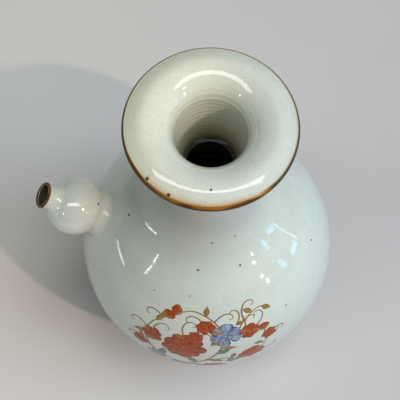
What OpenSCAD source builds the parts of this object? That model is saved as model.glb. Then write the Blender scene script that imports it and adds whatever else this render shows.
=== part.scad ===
// Kendi: a globular porcelain pouring vessel with a tall flared neck and a bulbous side spout.
// It is thrown in sections and luted together with slip, so every section and every seam is a piece.
// Millimetres, +Z up. The origin is the middle of the foot on the table, and the spout points along -X.

/* [Body] */
// Outer radius of the globular body
body_r = 65; // [60:0.5:75]
// Thickness of the thrown wall of the body, neck and mouth
wall = 3.6; // [3:0.1:4.5]
// Thickness of the floor inside the body
floor_t = 5; // [4:0.1:8]
// Radius of the round corner between the floor and the wall inside
floor_round = 12; // [6:0.5:16]

/* [Foot] */
// Outer radius of the foot ring where it meets the body
foot_r = 34; // [28:0.5:40]
// Height of the foot ring with its seam
foot_h = 8; // [5:0.5:12]
// Thickness of the foot ring
foot_w = 5; // [4:0.1:7]
// How much the foot ring draws in towards the table
foot_taper = 1; // [0:0.1:2]
// Radius of the foot ring's worn edges
foot_edge = 1.2; // [0.6:0.1:1.6]

/* [Neck] */
// Outer radius of the neck at its waist
waist_r = 15; // [14.4:0.1:18]
// Height of the waist above the top of the round body
waist_rise = 35; // [28:0.5:45]
// Outer radius of the neck at the seam with the shoulder
neck_root_r = 25; // [21:0.5:28]
// Height of the straight collar above the waist
collar_h = 8; // [6:0.5:12]
// Radius of the collar's bore
collar_bore_r = 10.2; // [9:0.1:10.8]

/* [Mouth] */
// Outer radius of the flared lip
mouth_r = 35.2; // [33:0.1:39]
// Radius of the crest, the highest circle of the mouth
crest_r = 27; // [24:0.1:29]
// Height of the crest above the collar
mouth_h = 41.5; // [36:0.5:46]
// Radius of the roll from the crest down into the throat
roll_r = 12; // [10:0.1:14]
// Radius of the tight curve from the crest to the flange
lip_curve_r = 5.2; // [5:0.1:8]
// Slope of the flange from the crest down to the lip
flange_fall = 29; // [20:1:38]

/* [Spout] */
// Outer radius of the spout's bulb
bulb_r = 14.7; // [13:0.1:16]
// Thickness of the bulb's wall
bulb_wall = 3; // [2.5:0.1:3.5]
// Distance of the bulb's middle from the outside of the body
bulb_stand = 13.1; // [12:0.1:14]
// Latitude of the bulb's middle on the body
bulb_lat = 31.9; // [26:0.1:36]
// Rise of the nozzle's axis above level
nozzle_rise = 38.4; // [32:0.1:44]
// Radius of the curve of the bulb's front half
bulb_front_r = 11.7; // [10.5:0.1:12.5]
// Thickness of the collar that seats the bulb on the body
root_wall = 3.5; // [3:0.1:4.5]
// Radius of the hole pierced through the body's wall
pierced_r = 5; // [4:0.1:6]
// Radius of the slip's hollow curve round the root
root_fillet = 4; // [3:0.1:5]
// Outer radius of the nozzle at its narrowest
nozzle_r = 5.9; // [5.6:0.1:6.2]
// Radius of the hollow curve between the bulb and the nozzle
nozzle_fillet = 5; // [4:0.1:6]
// Radius of the nozzle's bore
nozzle_bore_r = 5; // [4.4:0.1:5.2]
// Outer radius of the nozzle's tip
tip_r = 6.3; // [6.2:0.1:7]
// Distance of the tip from the bulb's middle
tip_reach = 17.85; // [17:0.05:20]

/* [Coats] */
// Thickness of the slip in each seam
slip_t = 0.8; // [0.5:0.1:1.2]
// Thickness of the slip's feathered edge round the spout's root
slip_edge = 0.25; // [0.15:0.05:0.4]
// Least thickness of the slip over the collar at the spout's root
slip_cover = 0.5; // [0.3:0.1:1]
// Thickness of the iron dressing on the lip and the tip
dressing_t = 0.3; // [0.2:0.05:0.5]

/* [Hidden] */
$fn = 240;

// Colours of the fired clay, the glaze, the slip and the iron dressing
glaze_colour = "#dfe7e3";
biscuit_colour = "#e3d6c2";
slip_colour = "#d9dcd4";
dressing_colour = "#7b4314";

// Heights below are measured from the body's middle, which stands this far above the table
body_z = foot_h + sqrt(body_r * body_r - foot_r * foot_r);
seat_z = foot_h - body_z;
half_slip = slip_t / 2;
// Larger than the whole vessel, for cutting shapes in half
beyond = 4 * body_r;
// Straight lines of the mouth run this far inside the curves they follow, so that they always join
bite = 0.02;

// The shoulder is one hollow curve, tangent to the round body and upright at the waist
waist_z = body_r + waist_rise;
shoulder_r = (waist_r * waist_r + waist_z * waist_z - body_r * body_r) / (2 * (body_r - waist_r));
shoulder_mid = [waist_r + shoulder_r, waist_z];
shoulder_lat = atan2(shoulder_mid[1], shoulder_mid[0]);
root_angle = acos((shoulder_mid[0] - neck_root_r) / shoulder_r);
neck_seam_z = waist_z - shoulder_r * sin(root_angle);

// The floor's round corner touches the flat floor and the inside of the wall
hollow_r = body_r - wall;
floor_z = seat_z + floor_t;
corner_z = floor_z + floor_round;
corner_x = sqrt(pow(hollow_r - floor_round, 2) - corner_z * corner_z);

// The throat rises from the collar's outline and touches the roll of the mouth
collar_top_z = waist_z + collar_h;
collar_lead = waist_r - wall - collar_bore_r;
throat_z = collar_top_z + slip_t;
crest_z = collar_top_z + mouth_h;
roll_mid = [crest_r, crest_z - roll_r];
lip_mid = [crest_r, crest_z - lip_curve_r];
throat_run = roll_mid - [waist_r, throat_z];
throat_gap = roll_r - bite;
throat_lean = atan2(throat_run[0], throat_run[1]) - asin((throat_gap - wall) / norm(throat_run));
throat_out = [-cos(throat_lean), sin(throat_lean)];
throat_r = roll_mid[0] - (throat_gap + sin(throat_lean) * throat_run[1]) / cos(throat_lean);

// The flange runs straight from the tight curve to the lip, a half-round bead as thick as its wall
bead_r = wall / 2;
flange_gap = lip_curve_r - bite;
// The tight curve reaches this far into the flange
curve_lap = lip_curve_r / 8;
flange_x = crest_r + (flange_gap - bead_r) * sin(flange_fall);
flange_run = (mouth_r - bead_r - flange_x) / cos(flange_fall);

// The bulb: its back is a sphere, its front a tighter curve that starts from the same widest ring
bulb_reach = body_r + bulb_stand;
bulb_front_mid = bulb_r - bulb_front_r;
bulb_hollow_r = bulb_r - bulb_wall;
front_hollow_r = bulb_front_r - bulb_wall;

// The nozzle's hollow curve touches the bulb's front curve and the nozzle's own outline
nozzle_curve_x = nozzle_r + nozzle_fillet;
nozzle_span = nozzle_curve_x - bulb_front_mid;
nozzle_curve_y = sqrt(pow(bulb_front_r + nozzle_fillet, 2) - nozzle_span * nozzle_span);
nozzle_seam_y = nozzle_curve_y * bulb_front_r / (bulb_front_r + nozzle_fillet);
tip_bead_r = (tip_r - nozzle_bore_r) / 2;
tip_bead_x = nozzle_bore_r + tip_bead_r;
tip_y = tip_reach - tip_bead_r;

// The slip's hollow curve round the root touches the body and the back of the bulb
root_side = body_r + root_fillet;
root_gap = bulb_r + root_fillet;
root_y = (root_side * root_side + bulb_reach * bulb_reach - root_gap * root_gap) / (2 * bulb_reach);
root_x = sqrt(root_side * root_side - root_y * root_y);
root_r = root_x - (root_fillet - slip_edge) - slip_cover;
root_bore_r = root_r - root_wall;

// Flat helpers, drawn in the half plane that is turned round an axis

// A fan from the middle of an arc, between two angles
module fan(from, to, reach) {
  steps = 6;
  turn = (to - from) / steps;
  edge = [for (k = [0:steps]) reach * [cos(from + turn * k), sin(from + turn * k)]];
  polygon(concat([[0, 0]], edge));
}

// A wall of even thickness along an arc
module arc_wall(mid, inner_r, outer_r, from, to) {
  translate(mid)
    intersection() {
      difference() {
        circle(r = outer_r);
        circle(r = inner_r);
      }
      fan(from, to, 2 * outer_r);
    }
}

// Everything between two heights, from the axis outwards
module slab(low, high) {
  translate([0, low]) square([beyond, high - low]);
}

// The wall from the widest ring over the shoulder to the waist
module shoulder_wall() {
  arc_wall([0, 0], hollow_r, body_r, 0, shoulder_lat);
  arc_wall(shoulder_mid, shoulder_r, shoulder_r + wall, 180, 180 + shoulder_lat);
}

// The hollow of the lower body: the round wall, the round corner and the flat floor
module bowl_hollow() {
  intersection() {
    circle(r = hollow_r);
    fan(atan2(corner_z, corner_x), 90, 2 * body_r);
  }
  intersection() {
    translate([corner_x, corner_z]) circle(r = floor_round);
    slab(floor_z, 0);
  }
  polygon([[0, 0], [0, floor_z], [corner_x, floor_z], [corner_x, corner_z]]);
}

// Along the flange from the middle of the tight curve, with its outer side up
module on_flange() {
  translate(lip_mid) rotate(-flange_fall) children();
}

// The bead at the end of the flange
module lip_bead(grow) {
  on_flange() translate([flange_run, flange_gap - bead_r]) circle(r = bead_r + grow);
}

// The flange as a strip below its top surface, set back by an inset
module flange_strip(inset, run, depth) {
  on_flange() translate([0, flange_gap - inset - depth]) square([run, depth]);
}

// Everything under the mouth's top surface as far as the throat, set back by an inset
module under_crest(inset, low) {
  touch = roll_mid + (throat_gap - inset) * throat_out;
  intersection() {
    translate(roll_mid) circle(r = roll_r - inset);
    translate([crest_r - beyond, low]) square([beyond, crest_z]);
  }
  on_flange()
    intersection() {
      circle(r = lip_curve_r - inset);
      translate([curve_lap - beyond, -lip_curve_r]) square([beyond, 2 * lip_curve_r]);
    }
  polygon([
    [crest_r, low],
    roll_mid,
    touch,
    [touch[0] - (touch[1] - low) * tan(throat_lean), low]
  ]);
}

// The nozzle's outline between its hollow curve and the tip
module nozzle_flare() {
  difference() {
    translate([0, nozzle_seam_y]) square([nozzle_curve_x, nozzle_curve_y - nozzle_seam_y]);
    translate([nozzle_curve_x, nozzle_curve_y]) circle(r = nozzle_fillet);
  }
}

// The nozzle's straight core, which widens to the tip
module nozzle_core() {
  polygon([
    [0, nozzle_seam_y + slip_t],
    [nozzle_r, nozzle_seam_y + slip_t],
    [nozzle_r, nozzle_curve_y],
    [tip_r, tip_y],
    [0, tip_y]
  ]);
}

// Places: the body's middle, and the spout's two axes

module on_body() {
  translate([0, 0, body_z]) children();
}

// Along the line from the body's middle through the bulb's middle
module on_root_axis() {
  on_body() rotate([0, bulb_lat - 90, 0]) children();
}

// Along the nozzle, from the bulb's middle
module on_nozzle_axis() {
  on_body()
    translate(bulb_reach * [-cos(bulb_lat), 0, sin(bulb_lat)])
      rotate([0, nozzle_rise - 90, 0])
        children();
}

// The bulb's round form, for its outside or its hollow
module bulb_form(back_r, front_r) {
  rotate_extrude()
    intersection() {
      circle(r = back_r);
      slab(-back_r, 0);
    }
  rotate_extrude()
    intersection() {
      union() {
        translate([bulb_front_mid, 0]) circle(r = front_r);
        translate([0, -front_r]) square([bulb_front_mid, 2 * front_r]);
      }
      slab(0, nozzle_seam_y);
    }
}

// Pieces

module foot_ring() {
  inner_r = foot_r - foot_w;
  edge_r = foot_r - foot_taper;
  color(biscuit_colour)
    rotate_extrude() {
      polygon([
        [inner_r, foot_h - slip_t],
        [inner_r, foot_edge],
        [inner_r + foot_edge, 0],
        [edge_r - foot_edge, 0],
        [edge_r, foot_edge],
        [foot_r, foot_h - slip_t]
      ]);
      translate([inner_r + foot_edge, foot_edge]) circle(r = foot_edge);
      translate([edge_r - foot_edge, foot_edge]) circle(r = foot_edge);
    }
}

module foot_slip() {
  color(slip_colour)
    translate([0, 0, foot_h - slip_t])
      difference() {
        cylinder(r = foot_r, h = slip_t);
        translate([0, 0, -slip_t]) cylinder(r = foot_r - foot_w, h = 3 * slip_t);
      }
}

module lower_body() {
  color(glaze_colour)
    on_body()
      rotate_extrude()
        difference() {
          intersection() {
            circle(r = body_r);
            slab(seat_z, -half_slip);
          }
          bowl_hollow();
        }
}

module belly_slip() {
  color(slip_colour)
    on_body()
      rotate_extrude()
        intersection() {
          arc_wall([0, 0], hollow_r, body_r, -shoulder_lat, shoulder_lat);
          slab(-half_slip, half_slip);
        }
}

module upper_body() {
  color(glaze_colour)
    difference() {
      on_body()
        rotate_extrude()
          intersection() {
            shoulder_wall();
            slab(half_slip, neck_seam_z - half_slip);
          }
      on_root_axis() translate([0, 0, body_r / 2]) cylinder(r = pierced_r, h = body_r);
    }
}

module neck_slip() {
  color(slip_colour)
    on_body()
      rotate_extrude()
        intersection() {
          shoulder_wall();
          slab(neck_seam_z - half_slip, neck_seam_z + half_slip);
        }
}

module neck() {
  color(glaze_colour)
    on_body()
      rotate_extrude() {
        intersection() {
          shoulder_wall();
          slab(neck_seam_z + half_slip, waist_z);
        }
        polygon([
          [waist_r - wall, waist_z],
          [waist_r, waist_z],
          [waist_r, collar_top_z],
          [collar_bore_r, collar_top_z],
          [collar_bore_r, waist_z + collar_lead]
        ]);
      }
}

module mouth_slip() {
  color(slip_colour)
    on_body()
      translate([0, 0, collar_top_z])
        difference() {
          cylinder(r = waist_r, h = slip_t);
          translate([0, 0, -slip_t]) cylinder(r = throat_r, h = 3 * slip_t);
        }
}

module mouth() {
  color(glaze_colour)
    on_body()
      rotate_extrude() {
        difference() {
          union() {
            under_crest(0, throat_z);
            flange_strip(0, flange_run, wall);
          }
          under_crest(wall, throat_z - slip_t);
          flange_strip(wall, mouth_r, 2 * lip_curve_r);
        }
        lip_bead(0);
      }
}

module rim_dressing() {
  color(dressing_colour)
    on_body()
      rotate_extrude()
        difference() {
          lip_bead(dressing_t);
          lip_bead(0);
          flange_strip(0, flange_run, wall);
        }
}

module spout_bulb() {
  color(glaze_colour)
    difference() {
      union() {
        on_nozzle_axis() bulb_form(bulb_r, bulb_front_r);
        on_root_axis() translate([0, 0, body_r / 2]) cylinder(r = root_r, h = bulb_reach - body_r / 2);
      }
      on_body() sphere(r = body_r);
      on_nozzle_axis() bulb_form(bulb_hollow_r, front_hollow_r);
      on_nozzle_axis() cylinder(r = nozzle_bore_r, h = tip_reach);
      on_root_axis() translate([0, 0, body_r / 2]) cylinder(r = root_bore_r, h = bulb_reach - body_r / 2);
    }
}

module spout_slip() {
  color(slip_colour)
    on_root_axis()
      rotate_extrude()
        difference() {
          polygon([[0, 0], [root_x, root_y], [0, bulb_reach]]);
          translate([root_x, root_y]) circle(r = root_fillet - slip_edge);
          circle(r = body_r);
          translate([0, bulb_reach]) circle(r = bulb_r);
          square([root_r, bulb_reach]);
        }
}

module spout_nozzle() {
  color(glaze_colour)
    on_nozzle_axis()
      rotate_extrude()
        difference() {
          union() {
            intersection() {
              nozzle_flare();
              slab(nozzle_seam_y + slip_t, nozzle_curve_y);
            }
            nozzle_core();
            translate([tip_bead_x, tip_y]) circle(r = tip_bead_r);
          }
          square([nozzle_bore_r, tip_reach]);
        }
}

module nozzle_slip() {
  color(slip_colour)
    on_nozzle_axis()
      rotate_extrude()
        difference() {
          intersection() {
            nozzle_flare();
            slab(nozzle_seam_y, nozzle_seam_y + slip_t);
          }
          square([nozzle_bore_r, tip_reach]);
        }
}

module tip_dressing() {
  color(dressing_colour)
    on_nozzle_axis()
      rotate_extrude()
        difference() {
          translate([tip_bead_x, tip_y]) circle(r = tip_bead_r + dressing_t);
          translate([tip_bead_x, tip_y]) circle(r = tip_bead_r);
          nozzle_core();
          square([tip_bead_x - tip_bead_r / 2, 2 * tip_reach]);
        }
}

foot_ring();
foot_slip();
lower_body();
belly_slip();
upper_body();
neck_slip();
neck();
mouth_slip();
mouth();
rim_dressing();
spout_bulb();
spout_slip();
spout_nozzle();
nozzle_slip();
tip_dressing();
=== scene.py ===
"""Looks of a kendi, a porcelain pouring vessel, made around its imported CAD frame."""

import random
from functools import partial
from math import acos, asin, atan2, ceil, cos, degrees, dist, exp, hypot, pi, radians, sin, sqrt, tan, tau

import bmesh
import bpy
from mathutils import Matrix, Vector


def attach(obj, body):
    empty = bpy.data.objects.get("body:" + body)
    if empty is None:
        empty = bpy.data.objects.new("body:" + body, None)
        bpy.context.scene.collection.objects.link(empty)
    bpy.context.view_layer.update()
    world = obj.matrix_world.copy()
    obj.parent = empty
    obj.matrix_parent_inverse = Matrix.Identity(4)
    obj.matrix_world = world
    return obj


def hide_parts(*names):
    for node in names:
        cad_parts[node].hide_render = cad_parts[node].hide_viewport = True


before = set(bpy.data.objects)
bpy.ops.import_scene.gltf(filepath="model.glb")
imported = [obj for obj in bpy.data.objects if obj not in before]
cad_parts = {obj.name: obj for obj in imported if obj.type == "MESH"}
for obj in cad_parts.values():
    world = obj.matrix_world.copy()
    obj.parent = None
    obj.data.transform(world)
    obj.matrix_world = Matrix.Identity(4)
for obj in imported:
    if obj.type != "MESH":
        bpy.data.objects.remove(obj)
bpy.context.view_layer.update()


def bearing(x, y):
    """The angle in degrees from the middle to a place in the half plane."""
    return degrees(atan2(y, x))


# Sizes in millimetres, the same as in the part's source
MM = 0.001
BODY_R = 65.0
WALL = 3.6
FLOOR_T = 5.0
FLOOR_ROUND = 12.0
FOOT_R = 34.0
FOOT_H = 8.0
FOOT_W = 5.0
FOOT_TAPER = 1.0
FOOT_EDGE = 1.2
WAIST_R = 15.0
WAIST_RISE = 35.0
NECK_ROOT_R = 25.0
COLLAR_H = 8.0
COLLAR_BORE_R = 10.2
MOUTH_R = 35.2
CREST_R = 27.0
MOUTH_H = 41.5
ROLL_R = 12.0
LIP_CURVE_R = 5.2
FLANGE_FALL = radians(29)
BULB_R = 14.7
BULB_WALL = 3.0
BULB_STAND = 13.1
BULB_LAT = radians(31.9)
NOZZLE_RISE = radians(38.4)
BULB_FRONT_R = 11.7
ROOT_WALL = 3.5
PIERCED_R = 5.0
ROOT_FILLET = 4.0
NOZZLE_R = 5.9
NOZZLE_FILLET = 5.0
NOZZLE_BORE_R = 5.0
TIP_R = 6.3
TIP_REACH = 17.85
SLIP_T = 0.8
SLIP_EDGE = 0.25
SLIP_COVER = 0.5
DRESSING_T = 0.3

# Places that follow from these sizes, with heights measured from the body's middle
BODY_Z = FOOT_H + sqrt(BODY_R**2 - FOOT_R**2)
SEAT_Z = FOOT_H - BODY_Z
HALF_SLIP = SLIP_T / 2
HALF_WALL = WALL / 2
WAIST_Z = BODY_R + WAIST_RISE
SHOULDER_R = (WAIST_R**2 + WAIST_Z**2 - BODY_R**2) / (2 * (BODY_R - WAIST_R))
SHOULDER_MID = (WAIST_R + SHOULDER_R, WAIST_Z)
SHOULDER_SINE = sin(radians(bearing(*SHOULDER_MID)))
NECK_SEAM_Z = WAIST_Z - sqrt(SHOULDER_R**2 - (SHOULDER_MID[0] - NECK_ROOT_R) ** 2)
HOLLOW_R = BODY_R - WALL
FLOOR_Z = SEAT_Z + FLOOR_T
CORNER_Z = FLOOR_Z + FLOOR_ROUND
CORNER_X = sqrt((HOLLOW_R - FLOOR_ROUND) ** 2 - CORNER_Z**2)
COLLAR_TOP_Z = WAIST_Z + COLLAR_H
COLLAR_LEAD = WAIST_R - WALL - COLLAR_BORE_R
THROAT_Z = COLLAR_TOP_Z + SLIP_T
CREST_Z = COLLAR_TOP_Z + MOUTH_H
ROLL_MID = (CREST_R, CREST_Z - ROLL_R)
LIP_MID = (CREST_R, CREST_Z - LIP_CURVE_R)
THROAT_RUN = (ROLL_MID[0] - WAIST_R, ROLL_MID[1] - THROAT_Z)
THROAT_LEAN = atan2(*THROAT_RUN) - asin((ROLL_R - WALL) / hypot(*THROAT_RUN))
THROAT_R = ROLL_MID[0] - (ROLL_R + sin(THROAT_LEAN) * THROAT_RUN[1]) / cos(THROAT_LEAN)
BEAD_R = WALL / 2
BEAD_X = MOUTH_R - BEAD_R
BEAD_REACH = LIP_CURVE_R - BEAD_R
FLANGE_OUT = (sin(FLANGE_FALL), cos(FLANGE_FALL))
FLANGE_X = CREST_R + BEAD_REACH * FLANGE_OUT[0]
BEAD_MID = (BEAD_X, LIP_MID[1] + BEAD_REACH * FLANGE_OUT[1] - (BEAD_X - FLANGE_X) * tan(FLANGE_FALL))
BULB_REACH = BODY_R + BULB_STAND
BULB_MID = Vector((-cos(BULB_LAT) * BULB_REACH, 0, BODY_Z + sin(BULB_LAT) * BULB_REACH))
BULB_FRONT_MID = BULB_R - BULB_FRONT_R
NOZZLE_CURVE_X = NOZZLE_R + NOZZLE_FILLET
NOZZLE_CURVE_Y = sqrt((BULB_FRONT_R + NOZZLE_FILLET) ** 2 - (NOZZLE_CURVE_X - BULB_FRONT_MID) ** 2)
NOZZLE_SEAM_Y = NOZZLE_CURVE_Y * BULB_FRONT_R / (BULB_FRONT_R + NOZZLE_FILLET)
TIP_BEAD_R = (TIP_R - NOZZLE_BORE_R) / 2
TIP_BEAD_MID = (NOZZLE_BORE_R + TIP_BEAD_R, TIP_REACH - TIP_BEAD_R)
ROOT_SIDE = BODY_R + ROOT_FILLET
ROOT_Y = (ROOT_SIDE**2 + BULB_REACH**2 - (BULB_R + ROOT_FILLET) ** 2) / (2 * BULB_REACH)
ROOT_X = sqrt(ROOT_SIDE**2 - ROOT_Y**2)
ROOT_R = ROOT_X - (ROOT_FILLET - SLIP_EDGE) - SLIP_COVER
ROOT_BORE_R = ROOT_R - ROOT_WALL

# The wheel's axis of each group of pieces: a place in millimetres and a turn
ON_TABLE = (Vector((0, 0, 0)), (0, 0, 0))
ON_BODY = (Vector((0, 0, BODY_Z)), (0, 0, 0))
ON_ROOT = (Vector((0, 0, BODY_Z)), (0, BULB_LAT - pi / 2, 0))
ON_NOZZLE = (BULB_MID, (0, NOZZLE_RISE - pi / 2, 0))

# How the pieces are thrown, pressed and coated, in millimetres, counts and degrees
RING_PITCH = 2.7
RING_DEPTH = 0.035
SWAY_SCALE = 22.0
STILL_R = 6.0
BODY_TURNS = 192
MOUTH_TURNS = 224
BULB_TURNS = 160
NOZZLE_TURNS = 128
ROD_TURNS = 96
SHARP_EDGE = 32
THUMB = {"angle": 108, "width": 12, "depth": 0.28}
LIP_EASING = 120
SLIP_PROUD = 0.05
RIM_COAT = (62, -120)
TIP_COAT = (-25, 150)

# Colours of the glaze, the iron and the clay
GLAZE_COOL = (0.64, 0.745, 0.72)
GLAZE_WARM = (0.657, 0.735, 0.695)
GLAZE_CREAM = (0.795, 0.825, 0.7)
# Painted shade, with some pooled glaze, in the hollow under the neck
GLAZE_POOL_SHADE = (0.35, 0.37, 0.375)
GLAZE_CLOUD = (0.35, 0.36, 0.29)
# Painted shade: browner in the throat, near black deep inside the vessel
THROAT_SHADE = (0.4, 0.375, 0.26)
INSIDE_DARK = (0.012, 0.012, 0.01)
SPECK_FINE = (0.06, 0.05, 0.03)
SPECK_DARK = (0.03, 0.026, 0.018)
WASH_PALE = (0.56, 0.53, 0.34)
WASH_ORANGE = (0.6, 0.37, 0.12)
WASH_BROWN = (0.28, 0.11, 0.014)
IRON_THIN = (0.31, 0.125, 0.012)
IRON_THICK = (0.07, 0.03, 0.005)
IRON_LINE = (0.075, 0.05, 0.026)
IRON_BARE = (0.58, 0.57, 0.44)
IRON_BLOTCH = (0.2, 0.14, 0.028)
CLAY_PALE = (0.56, 0.45, 0.32)
CLAY_DARK = (0.36, 0.25, 0.15)
CLAY_EDGE = (0.3, 0.13, 0.04)

# Enamels: the full and the pale colour of a stroke, the colour of its edge, and its roughness
ENAMELS = {
    "red": ((0.31, 0.032, 0.005), (0.43, 0.085, 0.018), (0.11, 0.013, 0.004), 0.3),
    "gold": ((0.27, 0.135, 0.026), (0.4, 0.235, 0.065), (0.1, 0.04, 0.01), 0.34),
    "blue": ((0.085, 0.15, 0.36), (0.33, 0.42, 0.56), (0.02, 0.035, 0.12), 0.2),
    "green": ((0.04, 0.18, 0.09), (0.11, 0.3, 0.18), (0.015, 0.045, 0.025), 0.2),
}

# Heights in metres: where the glaze pools under the neck and painted shade from the mouth lies, and where the mouth's
# own tint begins and is full
POOL_SHADE_LOW, POOL_SHADE_FULL, POOL_SHADE_HIGH = 0.116, 0.142, 0.168
MOUTH_TINT_LOW, MOUTH_TINT_FULL = 0.173, 0.2

# Single iron specks: x, y, z and size in millimetres
BODY_SPECKS = (
    (-37.5, -7, 115.9, 0.75), (3.4, -23.3, 132.3, 0.6), (17.2, -29, 119.7, 0.65), (-2.2, -33.1, 120.2, 0.7),
    (13.7, -19.2, 132.5, 0.5), (-5.2, -43.5, 111.3, 0.45), (41.5, -39.6, 93.9, 0.6), (51.6, -8, 102, 0.7),
    (55.2, 20.2, 91, 0.6), (-22.5, -41.1, 108.3, 0.45),
)
MOUTH_SPECKS = (
    (-1.2, 21.8, 212.2, 0.7), (2.1, -28.2, 212.2, 0.65), (15.4, 26.8, 210.5, 0.6), (20.5, 12.2, 212.7, 0.7),
    (-29.8, 5.3, 210.5, 0.6), (-22.6, -24.4, 209.4, 1.2), (-21.8, -23.3, 209.9, 1.05), (-13.9, -30.4, 209.4, 1.15),
    (-21.7, 4.9, 212.6, 0.5), (16.1, -29.6, 209.2, 0.7),
)
SPOUT_SPECKS = ((-53.4, -1, 111.6, 0.8), (-74.2, -3, 116.7, 0.45))

# The shares of a stroke's length and of its half width, from its foot to its end
PETAL = ((0, 0.3), (0.25, 0.72), (0.5, 1.0), (0.74, 0.97), (0.91, 0.62), (1, 0.14))
LEAF = ((0, 0.14), (0.2, 0.62), (0.42, 1.0), (0.66, 0.8), (0.86, 0.38), (1, 0.06))

# The enamel's coat in millimetres, and the middle of the painting in degrees round and up the body
COAT_HEIGHT, COAT_DEPTH, BRUSH_STEP = 0.07, 0.2, 0.5
SPRAY_AZIMUTH, SPRAY_LATITUDE = -87.5, 13

# The room, in metres and degrees
FLOOR_HALF = 12
BODY_AIM = (0, 0, 0.1)
SPOUT_AIM = (0, 0, 0.11)
PANE_FAR = 2.15
NARROW = 40


def placed(name, data):
    """A new object in the scene."""
    made = bpy.data.objects.new(name, data)
    bpy.context.scene.collection.objects.link(made)
    return made


def cleared(*helpers):
    """Takes helper objects out of the scene, with their meshes."""
    for helper in helpers:
        mesh = helper.data
        bpy.data.objects.remove(helper)
        bpy.data.meshes.remove(mesh)


def settled(holder, name):
    """The plain mesh that an object's modifiers make."""
    seen = bpy.context.evaluated_depsgraph_get()
    final = holder.evaluated_get(seen)
    mesh = bpy.data.meshes.new_from_object(final, preserve_all_data_layers=True, depsgraph=seen)
    mesh.name = name
    return mesh


def feed(node, values):
    """Feeds a node's inputs from sockets or plain values."""
    for key, value in values.items():
        if isinstance(value, bpy.types.NodeSocket):
            node.id_data.links.new(value, node.inputs[key])
        else:
            node.inputs[key].default_value = value


def add(tree, kind, values=None, **options):
    """Adds a node to a tree, sets its options and feeds its inputs."""
    made = tree.nodes.new(kind)
    for key, value in options.items():
        setattr(made, key, value)
    feed(made, values or {})
    return made


def reckon(operation, first, *others):
    """The result of a Math node, in the tree of its first value."""
    values = dict(enumerate((first, *others)))
    return add(first.id_data, "ShaderNodeMath", values, operation=operation).outputs[0]


# The sum, difference, product and quotient of two values
plus, minus, times, over = (partial(reckon, key) for key in ("ADD", "SUBTRACT", "MULTIPLY", "DIVIDE"))


def split(place):
    """The X, Y and Z of a place."""
    return add(place.id_data, "ShaderNodeSeparateXYZ", {0: place}).outputs


def combined(x, y, z):
    """A place made of its X, Y and Z."""
    return add(x.id_data, "ShaderNodeCombineXYZ", {"X": x, "Y": y, "Z": z}).outputs[0]


def noise(place, scale, detail=2.0):
    """Soft noise, about a half on average."""
    values = {"Vector": place, "Scale": scale, "Detail": detail}
    return add(place.id_data, "ShaderNodeTexNoise", values).outputs[0]


def new_tree(name, inputs):
    """A Geometry Nodes tree with named inputs of each kind, and its two ends."""
    tree = bpy.data.node_groups.new(name, "GeometryNodeTree")
    tree.interface.new_socket("Geometry", in_out="OUTPUT", socket_type="NodeSocketGeometry")
    for kind, labels in {"Geometry": ["Geometry"], **inputs}.items():
        for label in labels:
            tree.interface.new_socket(label, in_out="INPUT", socket_type="NodeSocket" + kind)
    return tree, tree.nodes.new("NodeGroupInput").outputs, tree.nodes.new("NodeGroupOutput").inputs[0]


def position(tree):
    """Where each point of the tree's mesh is."""
    return add(tree, "GeometryNodeInputPosition").outputs[0]


def carried(tree, name):
    """A value that the points of the tree's mesh carry."""
    return add(tree, "GeometryNodeInputNamedAttribute", {"Name": name}, data_type="FLOAT").outputs[0]


def changed(shape, kind, values=None, **options):
    """The shape after one more node of its tree."""
    return add(shape.id_data, "GeometryNode" + kind, {0: shape, **(values or {})}, **options).outputs[0]


def stored(shape, name, value):
    """The shape with a value kept at its points."""
    return changed(shape, "StoreNamedAttribute", {"Name": name, "Value": value}, data_type="FLOAT")


def ended(shape, finish, result):
    """Ends a tree: realizes its shape and gives it its material."""
    shape = changed(changed(shape, "RealizeInstances"), "SetMaterial", {"Material": finish})
    shape.id_data.links.new(shape, result)
    return shape.id_data


def grow(tree, start, values, name):
    """Runs a tree on a mesh and gives back the plain mesh that it makes."""
    holder = placed(name + "_start", start)
    modifier = holder.modifiers.new("grow", "NODES")
    modifier.node_group = tree
    for item in tree.interface.items_tree:
        if item.in_out == "INPUT" and item.name in values:
            modifier[item.identifier] = values[item.name]
    mesh = settled(holder, name)
    cleared(holder)
    return mesh


def lined(name, places, links, marks):
    """A mesh of lines, with named values at its points."""
    mesh = bpy.data.meshes.new(name)
    mesh.from_pydata(places, links, [])
    for label, values in marks.items():
        mesh.attributes.new(label, "FLOAT", "POINT").data.foreach_set("value", values)
    return mesh


def face_outwards(mesh):
    """Turns a closed mesh so that its faces point out."""
    work = bmesh.new()
    work.from_mesh(mesh)
    bmesh.ops.recalc_face_normals(work, faces=work.faces)
    if work.calc_volume(signed=True) < 0:
        bmesh.ops.reverse_faces(work, faces=work.faces)
    work.to_mesh(mesh)
    work.free()


def stand(mesh, name, slot, *nodes):
    """Puts a finished mesh in the frame as a piece that stands for CAD nodes."""
    piece = placed(name, mesh)
    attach(piece, "root")
    if nodes:
        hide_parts(*nodes)
    return piece


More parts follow.
